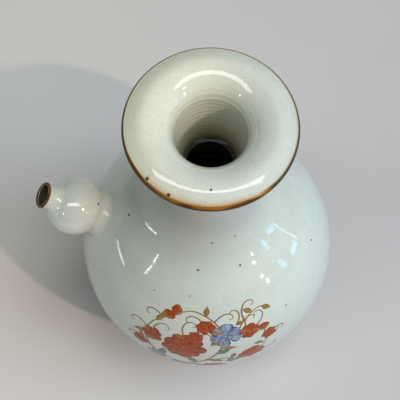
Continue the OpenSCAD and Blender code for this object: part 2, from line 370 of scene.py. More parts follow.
def turning_tree():
    """A potter's wheel: turns an outline round the wheel's axis, with throwing rings and a slight sway."""
    tree, given, result = new_tree("turning wheel", {
        "Int": ["Outline Points", "Turns"],
        "Float": ["Ring Pitch", "Ring Depth", "Sway", "Sway Scale", "Still Radius"],
        "Vector": ["Place"], "Rotation": ["Tilt"], "Material": ["Finish"],
    })
    outline, points, turns = given["Geometry"], given["Outline Points"], given["Turns"]

    def whole(operation, first, second):
        return add(tree, "FunctionNodeIntegerMath", {0: first, 1: second}, operation=operation).outputs[0]

    index = add(tree, "GeometryNodeInputIndex").outputs[0]
    step = whole("MODULO", index, points)
    angle = over(times(whole("DIVIDE_FLOOR", index, points), tau), turns)
    cosine, sine = reckon("COSINE", angle), reckon("SINE", angle)

    def from_outline(value, kind="FLOAT"):
        return changed(outline, "SampleIndex", {"Value": value, "Index": step}, data_type=kind)

    def round_axis(radius, height):
        return combined(times(radius, cosine), times(radius, sine), height)

    place = split(from_outline(position(tree), "FLOAT_VECTOR"))
    radius, height = place["X"], place["Z"]
    ring = plus(times(over(height, given["Ring Pitch"]), tau), angle)
    ring = times(reckon("SINE", ring), given["Ring Depth"])
    ring = times(ring, from_outline(carried(tree, "throwing")))
    drift = noise(round_axis(radius, height), given["Sway Scale"], 1.0)
    drift = times(minus(drift, 0.5), given["Sway"])
    hold = reckon("MINIMUM", over(radius, given["Still Radius"]), 1.0)
    thrown = plus(radius, times(plus(ring, drift), hold))

    grid = {"Vertices X": whole("ADD", turns, 1), "Vertices Y": points}
    work = add(tree, "GeometryNodeMeshGrid", grid).outputs["Mesh"]
    for name in ("stain", "inside"):
        work = stored(work, name, from_outline(carried(tree, name)))
    work = changed(work, "SetPosition", {"Position": round_axis(thrown, height)})
    work = changed(work, "MergeByDistance", {"Distance": 1e-6})
    work = changed(work, "SetShadeSmooth", {"Shade Smooth": True})
    bend = add(tree, "GeometryNodeInputMeshEdgeAngle").outputs["Unsigned Angle"]
    sharp = reckon("GREATER_THAN", bend, radians(SHARP_EDGE))
    work = changed(work, "SetShadeSmooth", {"Selection": sharp, "Shade Smooth": False}, domain="EDGE")
    work = changed(work, "Transform", {"Translation": given["Place"], "Rotation": given["Tilt"]})
    return ended(work, given["Finish"], result)


WHEEL = turning_tree()


def polar(mid, radius, angle):
    """The place in the half plane at a radius and an angle in degrees."""
    return mid[0] + radius * cos(radians(angle)), mid[1] + radius * sin(radians(angle))


def arc(mid, radius, start, end, step=0.5):
    """Points along an arc in the half plane, from one angle in degrees to another."""
    count = max(2, ceil(abs(radians(end - start)) * radius / step))
    return [polar(mid, radius, start + (end - start) * k / count) for k in range(count + 1)]


def hollow_arc(mid, radius, low, high, step=0.5):
    """Points up the side of a circle that faces the axis, from one height to another."""
    return arc(mid, radius, *[180 + degrees(asin((mid[1] - z) / radius)) for z in (low, high)], step)


def straight(a, b, step=0.5):
    """Points along a straight line, with both ends."""
    count = max(1, ceil(dist(a, b) / step))
    return [(a[0] + (b[0] - a[0]) * k / count, a[1] + (b[1] - a[1]) * k / count) for k in range(count + 1)]


def oblong(inner, outer, low, high):
    """The four corners of a plain ring's section."""
    return [(inner, low), (outer, low), (outer, high), (inner, high)]


def softened(points, rounds):
    """The same run of points with its bends eased; both ends stay."""
    for _ in range(rounds):
        trios = zip(points, points[1:], points[2:])
        inner = [tuple((a + 2 * b + c) / 4 for a, b, c in zip(*trio)) for trio in trios]
        points = points[:1] + inner + points[-1:]
    return points


def pressed(points, mid, angle, width, depth):
    """The same run of points, pressed in towards its middle round one angle, as by a thumb on the wheel."""
    out = []
    for r, z in points:
        off = bearing(r - mid[0], z - mid[1]) - angle
        share = 1 - depth * exp(-0.5 * (off / width) ** 2) / dist((r, z), mid)
        out.append((mid[0] + (r - mid[0]) * share, mid[1] + (z - mid[1]) * share))
    return out


def outline_of(*runs):
    """Joins runs of points into one outline without doubled points."""
    points = []
    for run in runs:
        for p in run:
            if not points or dist(points[-1], p) > 1e-4:
                points.append(p)
    return points


def no_marks(r, z):
    """Marks of a plain outer surface."""
    return 0.0, 0.0, 0.0


def all_inside(r, z):
    """Marks of a surface that is all inside the vessel, in full painted shade."""
    return 0.0, 0.0, 1.0


def body_marks(r, z):
    """Marks of the body's and the neck's walls: painted shade on the inside."""
    if z >= WAIST_Z or r <= WAIST_R - WALL:
        hollow = r < WAIST_R - 0.1
    elif z < BODY_R * SHOULDER_SINE:
        hollow = hypot(r, z) < BODY_R - HALF_WALL
    else:
        hollow = dist((r, z), SHOULDER_MID) > SHOULDER_R + HALF_WALL
    # The collar's top ledge takes a little less of the painted shade
    ledge = 0.94 if z > COLLAR_TOP_Z - 0.01 else 1.0
    return 0.0, 0.0, ledge if hollow else 0.0


def lower_marks(r, z):
    """Marks of the lower body: painted shade above its floor and inside its wall."""
    hollow = hypot(r, z) < BODY_R - HALF_WALL and z > SEAT_Z + FLOOR_T / 2
    return 0.0, 0.0, 1.0 if hollow else 0.0


def mouth_marks(r, z):
    """Marks of the mouth: throwing rings and painted shade deepening towards the foot of the throat, and the way out
    to the lip on the flange.
    """
    up = (r - LIP_MID[0]) * FLANGE_OUT[0] + (z - LIP_MID[1]) * FLANGE_OUT[1]
    start = CREST_R + 1
    stain = (r - start) / (MOUTH_R - start) if r > start and up > BEAD_REACH else 0.0
    if z < ROLL_MID[1]:
        in_throat = r < THROAT_R + (z - THROAT_Z) * tan(THROAT_LEAN) + HALF_WALL
    else:
        in_throat = dist((r, z), ROLL_MID) > ROLL_R - HALF_WALL and r < CREST_R
    if not in_throat:
        return 0.0, stain, 0.0
    depth = (CREST_Z - z) / (CREST_Z - THROAT_Z)
    # Painted shade: the throat darkens the deeper it lies, and its foot darker still
    dark = 0.5 * max(0.0, depth - 0.08) + 0.4 * max(0.0, depth - 0.68) / 0.32
    return (1.0 if depth > 0.1 else 0.0), stain, dark


def tip_marks(r, z):
    """Marks of the nozzle: painted shade in its bore."""
    return 0.0, 0.0, 0.9 if r < NOZZLE_BORE_R + 0.01 else 0.0


def coat_marks(mid, start, end):
    """Marks of a brushed coat: the way across it, from one edge to the other."""
    def marks(r, z):
        share = (bearing(r - mid[0], z - mid[1]) - start) / (end - start)
        return 0.0, min(max(share, 0.0), 1.0), 0.0
    return marks


def turned_mesh(name, points, axis, finish, marks=no_marks, closed=True, turns=BODY_TURNS, depth=0.0, sway=0.25):
    """The mesh of an outline turned on the wheel. marks gives each point's throwing, stain and painted inside shade.
    """
    if closed:
        points = points + points[:1]
    places = [(r * MM, 0, z * MM) for r, z in points]
    links = [(k, k + 1) for k in range(len(points) - 1)]
    values = zip(("throwing", "stain", "inside"), zip(*(marks(r, z) for r, z in points)))
    mesh = grow(
        WHEEL, lined(name + "_outline", places, links, dict(values)),
        {
            "Outline Points": len(points), "Turns": turns, "Ring Pitch": RING_PITCH * MM, "Ring Depth": depth * MM,
            "Sway": sway * MM, "Sway Scale": SWAY_SCALE, "Still Radius": STILL_R * MM,
            "Place": tuple(axis[0] * MM), "Tilt": axis[1], "Finish": finish,
        },
        name,
    )
    face_outwards(mesh)
    return mesh


def turned(node, made, slot, *outline, **wheel):
    """A piece that is one turned mesh, named after its CAD node and the way it is made."""
    return stand(turned_mesh(node, *outline, **wheel), node + "_" + made, slot, node)


def new_finish(name):
    """A new material with its shader and the place on the piece."""
    material = bpy.data.materials.new(name)
    material.use_nodes = True
    tree = material.node_tree
    return material, tree.nodes["Principled BSDF"], add(tree, "ShaderNodeTexCoord").outputs["Object"]


def blended(factor, first, second):
    """A mix of two colours, each a socket or a plain colour."""
    first, second = (c if isinstance(c, bpy.types.NodeSocket) else (*c, 1) for c in (first, second))
    return add(factor.id_data, "ShaderNodeMix", {0: factor, 6: first, 7: second}, data_type="RGBA").outputs[2]


def between(value, low, high, start=0.0, end=1.0):
    """Carries a value smoothly from one range to another."""
    limits = {"Value": value, "From Min": low, "From Max": high, "To Min": start, "To Max": end}
    return add(value.id_data, "ShaderNodeMapRange", limits, interpolation_type="SMOOTHSTEP").outputs[0]


def marked(place, name):
    """A value that the mesh carries at its points, in the tree of a place."""
    return add(place.id_data, "ShaderNodeAttribute", attribute_name=name).outputs["Fac"]


def specks(place, cells, size, share):
    """Small round spots, one in some of the cells."""
    cell = add(place.id_data, "ShaderNodeTexVoronoi", {"Vector": place, "Scale": cells}).outputs
    lot = add(place.id_data, "ShaderNodeSeparateColor", {0: cell["Color"]}).outputs[0]
    return times(between(cell["Distance"], size, 0.4 * size), reckon("LESS_THAN", lot, share))


def dabs(place, spots):
    """Single dark specks at given places, each (x, y, z, size) in millimetres."""
    amount = 0.0
    for *spot, size in spots:
        ends = {0: place, 1: tuple(v * MM for v in spot)}
        far = add(place.id_data, "ShaderNodeVectorMath", ends, operation="DISTANCE").outputs["Value"]
        amount = reckon("MAXIMUM", between(far, size * MM, 0.65 * size * MM), amount)
    return amount


def relief(*layers):
    """The normal over heights that lie on one another, each with its depth in millimetres."""
    normal = {}
    for height, depth in layers:
        values = {"Height": height, "Distance": depth * MM, **normal}
        normal = {"Normal": add(height.id_data, "ShaderNodeBump", values).outputs[0]}
    return normal


def pooled_and_shaded(place):
    """How much the glaze pools in the hollow of the shoulder under the neck, and painted shade where the mouth shades
    the neck's root.
    """
    height = split(place)["Z"]
    below = between(height, POOL_SHADE_LOW, POOL_SHADE_FULL)
    return times(below, between(height, POOL_SHADE_HIGH, POOL_SHADE_FULL))


def left_side(place, drift):
    """How cream the mouth is: most on the spout's side and at the back."""
    part = split(place)
    lean = minus(times(part["Y"], 0.35), part["X"])
    return between(plus(lean, times(drift, 0.03)), -0.02, 0.05)


def front_side(place):
    """One at the front of the lip, nothing at its sides and back, for the way the brown has run."""
    part = split(place)
    side = plus(times(part["X"], -0.14), times(part["Y"], -0.99))
    return between(side, 0.013, 0.033)


def rim_wash(place, tint):
    """The brown of the lip where it has run thin over the flange, widest at the front."""
    front = front_side(place)
    ragged = times(minus(noise(place, 70.0), 0.5), 0.2)
    out = plus(marked(place, "stain"), times(ragged, front))
    tint = blended(between(out, 0.45, 1.0, 0.0, 0.3), tint, WASH_PALE)
    edge = minus(out, between(front, 0.0, 1.0, 1.02, 0.56))
    tint = blended(between(edge, -0.1, 0.34, 0.0, 0.55), tint, WASH_ORANGE)
    return blended(between(edge, 0.16, 0.42, 0.0, 0.85), tint, WASH_BROWN)


def glaze(name, cool, cream, spots=(), washed=False, index=1.6):
    """Clear glaze over white porcelain: a cool and a cream tint, iron specks, pinholes, painted shade on the inside
    and, on the body, painted shade with pooled glaze under the neck.
    """
    material, shader, place = new_finish(name)
    drift = noise(place, 17.0)
    low = (GLAZE_COOL, GLAZE_WARM) if washed else (cool, cream)
    tint = blended(between(drift, 0.38, 0.64), *low)
    if washed:
        top = rim_wash(place, blended(left_side(place, drift), cool, cream))
        tint = blended(between(split(place)["Z"], MOUTH_TINT_LOW, MOUTH_TINT_FULL), tint, top)
    else:
        # Painted shade from the mouth over the neck's root, with some pooled glaze
        tint = blended(times(pooled_and_shaded(place), 0.55), tint, GLAZE_POOL_SHADE)
    cloud = between(noise(place, 170.0, 3.0), 0.3, 0.7, 0.0, 0.07)
    cloud = plus(cloud, between(noise(place, 800.0), 0.45, 0.75, 0.0, 0.12))
    tint = blended(cloud, tint, GLAZE_CLOUD)
    fine = reckon("MAXIMUM", specks(place, 190.0, 0.06, 0.2), specks(place, 430.0, 0.1, 0.12))
    tint = blended(times(fine, 0.6), tint, SPECK_FINE)
    if spots:
        tint = blended(times(dabs(place, spots), 0.94), tint, SPECK_DARK)
    # Painted shade: browner partway down the throat, near black deep inside the vessel and in its bores
    inside = marked(place, "inside")
    tint = blended(between(inside, 0.0, 0.5), tint, THROAT_SHADE)
    tint = blended(between(inside, 0.45, 1.0, 0.0, 0.97), tint, INSIDE_DARK)
    pits = specks(place, 620.0, 0.16, 0.3)
    skin = relief((noise(place, 46.0, 1.0), 0.12), (noise(place, 900.0), 0.006), (pits, -0.03))
    feed(shader, {"Base Color": tint, "Roughness": 0.07, "IOR": index, **skin})
    return material


def iron_dressing(name, leaves_back):
    """Brown iron brushed on an edge: orange where it is thin, dark where it is thick; at the back only a thin line."""
    material, shader, place = new_finish(name)
    stain = marked(place, "stain")
    across = plus(stain, between(noise(place, 95.0, 4.0), 0.3, 0.7, -0.08, 0.14))
    tint = blended(between(across, 0.06, 0.25), IRON_THIN, IRON_THICK)
    if leaves_back:
        front = front_side(place)
        tint = blended(between(front, 0.0, 0.5), IRON_LINE, tint)
        bare = minus(between(front, 0.0, 0.8, 0.055, -0.1), stain)
        tint = blended(between(bare, -0.03, 0.03, 0.0, 0.9), tint, IRON_BARE)
    else:
        tint = blended(between(noise(place, 260.0), 0.4, 0.62), tint, IRON_BLOTCH)
    skin = relief((noise(place, 400.0, 3.0), 0.03))
    feed(shader, {"Base Color": tint, "Roughness": 0.24, "Specular IOR Level": 0.25, **skin})
    return material


def biscuit():
    """The foot: glazed on its sides and bare, sandy clay where it meets the table."""
    material, shader, place = new_finish("biscuit")
    edge = plus(split(place)["Z"], times(noise(place, 120.0), 0.0016))
    bare = between(edge, 0.0032, 0.0026)
    grain = noise(place, 1500.0, 3.0)
    clay = blended(between(grain, 0.35, 0.7), CLAY_PALE, CLAY_DARK)
    rim = times(between(edge, 0.0045, 0.003), 0.5)
    tint = blended(bare, blended(rim, GLAZE_COOL, CLAY_EDGE), clay)
    rough = between(bare, 0.0, 1.0, 0.08, 0.85)
    feed(shader, {"Base Color": tint, "Roughness": rough, **relief((times(grain, bare), 0.12))})
    return material


def enamel(name, full, pale, line, roughness):
    """Overglaze enamel: brush streaks along each stroke and a darker line at its edges."""
    material, shader, place = new_finish(name)
    along, across, shade = (marked(place, key) for key in ("along", "across", "shade"))
    stroke = combined(times(across, 2.6), times(along, 1.1), times(shade, 40.0))
    tint = blended(between(noise(stroke, 1.6, 3.0), 0.32, 0.66), full, pale)
    edge = between(reckon("ABSOLUTE", across), 0.62, 0.86)
    edge = reckon("MAXIMUM", edge, between(along, 0.14, 0.0))
    tint = blended(times(edge, 0.85), tint, line)
    skin = relief((noise(place, 1400.0), 0.02))
    feed(shader, {"Base Color": tint, "Roughness": roughness, "Specular IOR Level": 0.35, **skin})
    return material


GLAZE = glaze("glaze", GLAZE_COOL, GLAZE_WARM, BODY_SPECKS)
GLAZE_MOUTH = glaze("glaze_mouth", (0.67, 0.75, 0.725), GLAZE_CREAM, MOUTH_SPECKS, washed=True, index=1.7)
# The spout's glaze is tinted lighter than the body's: painted light for the brightness of the bulb
GLAZE_SPOUT = glaze("glaze_spout", (0.735, 0.845, 0.835), (0.8, 0.82, 0.79), SPOUT_SPECKS, index=1.85)
GLAZE_ROOT = glaze("glaze_root", (0.61, 0.7, 0.68), (0.64, 0.695, 0.665))
GLAZE_SEAM = glaze("glaze_seam", (0.66, 0.7, 0.66), (0.71, 0.68, 0.62))
IRON_RIM = iron_dressing("iron_dressing_rim", True)
IRON_TIP = iron_dressing("iron_dressing_tip", False)
BISCUIT = biscuit()


def shoulder_run(inset, low, high):
    """The shoulder's hollow curve between two heights, upwards."""
    return hollow_arc(SHOULDER_MID, SHOULDER_R + inset, low, high)


def body_run(inset, low, high):
    """The round body's curve between two heights, upwards."""
    radius = BODY_R - inset
    return arc((0, 0), radius, *[degrees(asin(z / radius)) for z in (low, high)])


def foot_ring():
    """The foot, with its edges rounded where it stands."""
    inner, edge, top = FOOT_R - FOOT_W, FOOT_R - FOOT_TAPER, FOOT_H - SLIP_T
    points = outline_of(
        straight((inner, top), (inner, FOOT_EDGE)),
        arc((inner + FOOT_EDGE, FOOT_EDGE), FOOT_EDGE, 180, 270, step=0.2),
        arc((edge - FOOT_EDGE, FOOT_EDGE), FOOT_EDGE, 270, 360, step=0.2),
        straight((edge, FOOT_EDGE), (FOOT_R, top)),
    )
    turned("foot_ring", "thrown", "biscuit", points, ON_TABLE, BISCUIT, sway=0.0)


def foot_slip():
    """The seam between the foot and the body."""
    points = oblong(FOOT_R - FOOT_W, FOOT_R, FOOT_H - SLIP_T, FOOT_H)
    turned("foot_slip", "luted", "slip", points, ON_TABLE, GLAZE_SEAM, sway=0.0)


def lower_body():
    """The lower half of the body, with its floor."""
    corner = bearing(CORNER_X, CORNER_Z)
    points = outline_of(
        straight((0, SEAT_Z), (FOOT_R, SEAT_Z), step=1.5),
        body_run(0, SEAT_Z, -HALF_SLIP),
        reversed(body_run(WALL, HOLLOW_R * sin(radians(corner)), -HALF_SLIP)),
        arc((CORNER_X, CORNER_Z), FLOOR_ROUND, corner, -90),
        straight((CORNER_X, FLOOR_Z), (0, FLOOR_Z), step=1.5),
    )
    return turned("lower_body", "thrown", "glaze", points, ON_BODY, GLAZE, lower_marks, closed=False)


def belly_slip():
    """The seam at the body's widest ring."""
    points = outline_of(body_run(0, -HALF_SLIP, HALF_SLIP), reversed(body_run(WALL, -HALF_SLIP, HALF_SLIP)))
    return turned("belly_slip", "luted", "slip", points, ON_BODY, GLAZE, body_marks)


def upper_body():
    """The upper half of the body with the shoulder, pierced for the spout."""
    top = NECK_SEAM_Z - HALF_SLIP
    turn_z, inner_z = BODY_R * SHOULDER_SINE, HOLLOW_R * SHOULDER_SINE
    points = outline_of(
        body_run(0, HALF_SLIP, turn_z),
        shoulder_run(0, turn_z, top),
        reversed(shoulder_run(WALL, inner_z, top)),
        reversed(body_run(WALL, HALF_SLIP, inner_z)),
    )
    mesh = joined(
        "upper_body",
        turned_mesh("upper_body_whole", points, ON_BODY, GLAZE, body_marks),
        ("DIFFERENCE", rod("pierced_hole", PIERCED_R, BODY_R / 2, 1.2 * BODY_R, ON_ROOT, GLAZE)),
    )
    return stand(mesh, "upper_body_thrown", "glaze", "upper_body")


def neck_slip():
    """The seam between the shoulder and the neck."""
    low, high = NECK_SEAM_Z - HALF_SLIP, NECK_SEAM_Z + HALF_SLIP
    points = outline_of(shoulder_run(0, low, high), reversed(shoulder_run(WALL, low, high)))
    turned("neck_slip", "luted", "slip", points, ON_BODY, GLAZE, body_marks)


def neck():
    """The neck, with the straight collar at its top."""
    low = NECK_SEAM_Z + HALF_SLIP
    points = outline_of(
        shoulder_run(0, low, WAIST_Z),
        straight((WAIST_R, WAIST_Z), (WAIST_R, COLLAR_TOP_Z)),
        straight((WAIST_R, COLLAR_TOP_Z), (COLLAR_BORE_R, COLLAR_TOP_Z), step=0.3),
        straight((COLLAR_BORE_R, COLLAR_TOP_Z), (COLLAR_BORE_R, WAIST_Z + COLLAR_LEAD)),
        [(WAIST_R - WALL, WAIST_Z)],
        reversed(shoulder_run(WALL, low, WAIST_Z)),
    )
    turned("neck", "thrown", "glaze", points, ON_BODY, GLAZE, body_marks)


def mouth_slip():
    """The seam between the collar and the mouth."""
    points = oblong(THROAT_R, WAIST_R, COLLAR_TOP_Z, THROAT_Z)
    turned("mouth_slip", "luted", "slip", points, ON_BODY, GLAZE_SEAM, body_marks)


def mouth():
    """The flared mouth, with its roll, its flange and the bead of its lip."""
    lean, top = degrees(THROAT_LEAN), 90 - degrees(FLANGE_FALL)
    roll_in = pressed(arc(ROLL_MID, ROLL_R, 180 - lean, 90, step=0.3), ROLL_MID, **THUMB)
    roll_out = arc(ROLL_MID, ROLL_R - WALL, 90, 180 - lean, step=0.4)
    crest = arc(LIP_MID, LIP_CURVE_R, 90, top, step=0.25)
    bead = arc(BEAD_MID, BEAD_R, top, top - 180, step=0.25)
    points = outline_of(
        straight((THROAT_R, THROAT_Z), roll_in[0], step=0.3),
        softened(outline_of(roll_in, crest, straight(crest[-1], bead[0], step=0.25)), LIP_EASING),
        bead,
        arc(LIP_MID, LIP_CURVE_R - WALL, top, 90, step=0.3),
        roll_out,
        straight(roll_out[-1], (WAIST_R, THROAT_Z)),
    )
    turned(
        "mouth", "thrown", "glaze", points, ON_BODY, GLAZE_MOUTH, mouth_marks, turns=MOUTH_TURNS, depth=RING_DEPTH
    )


def coat(mid, inner_r, start, end, count=24):
    """A coat over part of a bead, feathered at both ends, as a closed outline."""
    feather, sunk = 0.04, 0.1
    outer, inner = [], []
    for k in range(count + 1):
        part = k / count
        angle = start + (end - start) * part
        swell = DRESSING_T * sin(pi * min(max(part, feather), 1 - feather)) ** 0.4
        outer.append(polar(mid, inner_r + swell, angle))
        inner.append(polar(mid, inner_r - sunk, angle))
    return outer + inner[::-1]


def rim_dressing():
    """The iron on the lip."""
    points, marks = coat(BEAD_MID, BEAD_R, *RIM_COAT), coat_marks(BEAD_MID, *RIM_COAT)
    turned("rim_dressing", "brushed", "iron_dressing", points, ON_BODY, IRON_RIM, marks, turns=MOUTH_TURNS)


def joined(name, base, *steps):
    """A mesh changed by others with exact booleans, each a (operation, mesh) pair."""
    holder = placed(name + "_base", base)
    helpers = []
    for operation, tool in steps:
        helpers.append(placed(name + "_tool", tool))
        change = holder.modifiers.new(operation, "BOOLEAN")
        change.operation, change.solver, change.object = operation, "EXACT", helpers[-1]
    mesh = settled(holder, name)
    cleared(holder, *helpers)
    mesh.shade_smooth()
    mesh.set_sharp_from_angle(angle=radians(SHARP_EDGE))
    return mesh


def rod(name, radius, low, high, axis, finish):
    """A plain turned rod along an axis."""
    points = oblong(0, radius, low, high)
    return turned_mesh(name, points, axis, finish, all_inside, closed=False, turns=ROD_TURNS, sway=0.0)


def bulb_form(name, inset, marks, turns):
    """The bulb's round form, from its back pole to its flat front."""
    front_r = BULB_FRONT_R - inset
    end = degrees(asin(min(NOZZLE_SEAM_Y / front_r, 1.0)))
    edge = arc((BULB_FRONT_MID, 0), front_r, 0, end, step=0.3)
    points = outline_of(arc((0, 0), BULB_R - inset, -90, 0, step=0.35), edge, [(0, edge[-1][1])])
    return turned_mesh(name, points, ON_NOZZLE, GLAZE_SPOUT, marks, closed=False, turns=turns, sway=0.0)


def spout_bulb():
    """The hollow bulb of the spout, with the collar that seats it on the body."""
    sphere = arc((0, 0), BODY_R, -90, 90, step=0.7)
    mesh = joined(
        "spout_bulb",
        bulb_form("bulb_outside", 0, no_marks, BULB_TURNS),
        ("UNION", rod("collar", ROOT_R, BODY_R / 2, BULB_REACH, ON_ROOT, GLAZE_SPOUT)),
        ("DIFFERENCE", turned_mesh("body_form", sphere, ON_BODY, GLAZE_SPOUT, closed=False)),
        ("DIFFERENCE", bulb_form("bulb_hollow", BULB_WALL, all_inside, ROD_TURNS)),
        ("DIFFERENCE", rod("nozzle_bore", NOZZLE_BORE_R, 0, TIP_REACH, ON_NOZZLE, GLAZE_SPOUT)),
        ("DIFFERENCE", rod("root_bore", ROOT_BORE_R, BODY_R / 2, BULB_REACH, ON_ROOT, GLAZE_SPOUT)),
    )
    stand(mesh, "spout_bulb_thrown", "glaze", "spout_bulb")


def spout_slip():
    """The hollow curve of slip round the spout's root."""
    reach = ROOT_FILLET - SLIP_PROUD
    to_body, to_bulb = bearing(-ROOT_X, -ROOT_Y), bearing(-ROOT_X, BULB_REACH - ROOT_Y)
    body_edge, bulb_edge = bearing(ROOT_X, ROOT_Y), bearing(ROOT_X, ROOT_Y - BULB_REACH)
    points = outline_of(
        arc((ROOT_X, ROOT_Y), reach, to_body, to_bulb - 360, step=0.2),
        arc((0, BULB_REACH), BULB_R, bulb_edge, degrees(-acos(ROOT_R / BULB_R)), step=0.3),
        [(ROOT_R, sqrt(BODY_R**2 - ROOT_R**2))],
        reversed(arc((0, 0), BODY_R, body_edge, degrees(acos(ROOT_R / BODY_R)), step=0.3)),
    )
    turned("spout_slip", "luted", "slip", points, ON_ROOT, GLAZE_ROOT, sway=0.0)


def nozzle_curve(low, high):
    """The hollow curve between the bulb and the nozzle, upwards between two heights."""
    return hollow_arc((NOZZLE_CURVE_X, NOZZLE_CURVE_Y), NOZZLE_FILLET, low, high, step=0.2)


def on_nozzle(node, made, slot, points, finish, marks):
    """A piece that is turned on the nozzle's axis."""
    turned(node, made, slot, points, ON_NOZZLE, finish, marks, turns=NOZZLE_TURNS, sway=0.0)


def spout_nozzle():
    """The short nozzle on the bulb."""
    low, high = NOZZLE_SEAM_Y + SLIP_T, TIP_BEAD_MID[1]
    points = outline_of(
        nozzle_curve(low, NOZZLE_CURVE_Y),
        straight((NOZZLE_R, NOZZLE_CURVE_Y), (TIP_R, high), step=0.3),
        arc(TIP_BEAD_MID, TIP_BEAD_R, 0, 180, step=0.12),
        straight((NOZZLE_BORE_R, high), (NOZZLE_BORE_R, low), step=0.3),
    )
    on_nozzle("spout_nozzle", "thrown", "glaze", points, GLAZE_SPOUT, tip_marks)


def nozzle_slip():
    """The seam between the bulb and the nozzle."""
    low, high = NOZZLE_SEAM_Y, NOZZLE_SEAM_Y + SLIP_T
    points = outline_of(nozzle_curve(low, high), [(NOZZLE_BORE_R, high), (NOZZLE_BORE_R, low)])
    on_nozzle("nozzle_slip", "luted", "slip", points, GLAZE_SPOUT, tip_marks)


def tip_dressing():
    """The iron round the spout's tip."""
    points, marks = coat(TIP_BEAD_MID, TIP_BEAD_R, *TIP_COAT, count=16), coat_marks(TIP_BEAD_MID, *TIP_COAT)
    on_nozzle("tip_dressing", "brushed", "iron_dressing", points, IRON_TIP, marks)


def brush_tree():
    """A painter's brush: draws flat strokes as thin domed coats and lays them on the round body."""
    tree, given, result = new_tree("enamel brush", {
        "Object": ["Ground"], "Material": ["Finish"],
        "Vector": ["Body Middle", "Ahead", "Right", "Up"],
        "Float": ["Body Radius", "Coat Height", "Coat Depth", "Step"],
    })
    body_r = given["Body Radius"]

    def scaled(way, amount):
        return add(tree, "ShaderNodeVectorMath", {0: way, "Scale": amount}, operation="SCALE").outputs[0]

    def summed(first, second):
        return add(tree, "ShaderNodeVectorMath", {0: first, 1: second}, operation="ADD").outputs[0]

    line = changed(given["Geometry"], "MeshToCurve")
    line = changed(line, "CurveSplineType", spline_type="CATMULL_ROM")
    line = changed(line, "SetSplineResolution", {"Resolution": 6})
    line = changed(line, "ResampleCurve", {"Length": given["Step"]}, mode="LENGTH")
    line = stored(line, "along", add(tree, "GeometryNodeSplineParameter").outputs["Factor"])
    ring = add(tree, "GeometryNodeCurvePrimitiveCircle", {"Resolution": 12, "Radius": 1.0}).outputs[0]
    for name, axis in (("across", "X"), ("rise", "Y")):
        ring = stored(ring, name, split(position(tree))[axis])
    sweep = {"Profile Curve": ring, "Scale": carried(tree, "half_width"), "Fill Caps": True}
    work = changed(line, "CurveToMesh", sweep)

    flat = split(position(tree))
    right, up = flat["X"], flat["Y"]
    reach = reckon("SQRT", plus(times(right, right), times(up, up)))
    reach = reckon("MAXIMUM", reach, 1e-6)
    angle = over(reach, body_r)
    sideways = summed(scaled(given["Right"], right), scaled(given["Up"], up))
    sideways = scaled(sideways, over(reckon("SINE", angle), reach))
    way = summed(scaled(given["Ahead"], reckon("COSINE", angle)), sideways)
    ray = {
        "Target Geometry": add(tree, "GeometryNodeObjectInfo", {"Object": given["Ground"]}).outputs["Geometry"],
        "Source Position": summed(given["Body Middle"], scaled(way, times(body_r, 1.1))),
        "Ray Direction": scaled(way, -1.0),
        "Ray Length": 0.02,
    }
    landed = add(tree, "GeometryNodeRaycast", ray).outputs["Hit Position"]
    rise = carried(tree, "rise")
    lift = times(reckon("MAXIMUM", rise, 0.0), given["Coat Height"])
    sink = times(reckon("MINIMUM", rise, 0.0), given["Coat Depth"])
    lift = plus(plus(lift, sink), carried(tree, "layer"))
    work = changed(work, "SetPosition", {"Position": summed(landed, scaled(way, lift))})
    work = changed(work, "SetShadeSmooth", {"Shade Smooth": True})
    return ended(work, given["Finish"], result)


def broad(shares, foot, angle, start, length, width, layer, bend):
    """A stroke that swells and closes, from a little way off its foot."""
    ahead = Vector((cos(angle), sin(angle)))
    aside = Vector((-ahead.y, ahead.x))
    points = [Vector(foot) + ahead * (start + length * f) + aside * (bend * length * f * f) for f, _ in shares]
    return points, [width * w for _, w in shares], layer


def petal(mid, angle, start, length, width, layer, bend=0.0):
    """One broad stroke outwards from a blossom's middle."""
    return broad(PETAL, mid, angle, start, length, width, layer, bend)


def leaf(foot, angle, length, width, layer, bend):
    """A pointed leaf from a stem."""
    return broad(LEAF, foot, angle, 0, length, width, layer, bend)


def stem(points, thick, thin, layer):
    """A long stroke that thins towards its end."""
    last = len(points) - 1
    return [Vector(q) for q in points], [thick + (thin - thick) * k / last for k in range(last + 1)], layer


def curl(foot, angle, size, turn, thick):
    """A tendril that rolls up at its end."""
    points, heading, here = [Vector(foot)], angle, Vector(foot)
    for k in range(11):
        here = here + Vector((cos(heading), sin(heading))) * size * (0.36 - 0.026 * k)
        heading += turn * (0.12 + 0.085 * k)
        points.append(here)
    return stem(points, thick, thick * 0.35, 0)


def blossom(mid, rings, pick):
    """Rings of petals round a middle: count, start, length, width and layer of each."""
    strokes = []
    for count, start, length, width, layer in rings:
        first = pick.uniform(0, tau)
        for k in range(count):
            angle = first + tau * (k + pick.uniform(-0.12, 0.12)) / count
            reach = length * pick.uniform(0.88, 1.1)
            half = width * pick.uniform(0.9, 1.1)
            strokes.append(petal(mid, angle, start, reach, half, layer, pick.uniform(-0.12, 0.12)))
    return strokes


def dots(mid, spread, count, size, layer, pick):
    """A close cluster of dots."""
    strokes = []
    for k in range(count):
        angle, far = 2.4 * k, spread * sqrt((k + 0.4) / count)
        spot = Vector(mid) + Vector((cos(angle), sin(angle))) * far
        half = Vector((size * 0.6, 0))
        widths = [size * 0.55, size * pick.uniform(0.9, 1.1), size * 0.55]
        strokes.append(([spot - half, spot, spot + half], widths, layer))
    return strokes


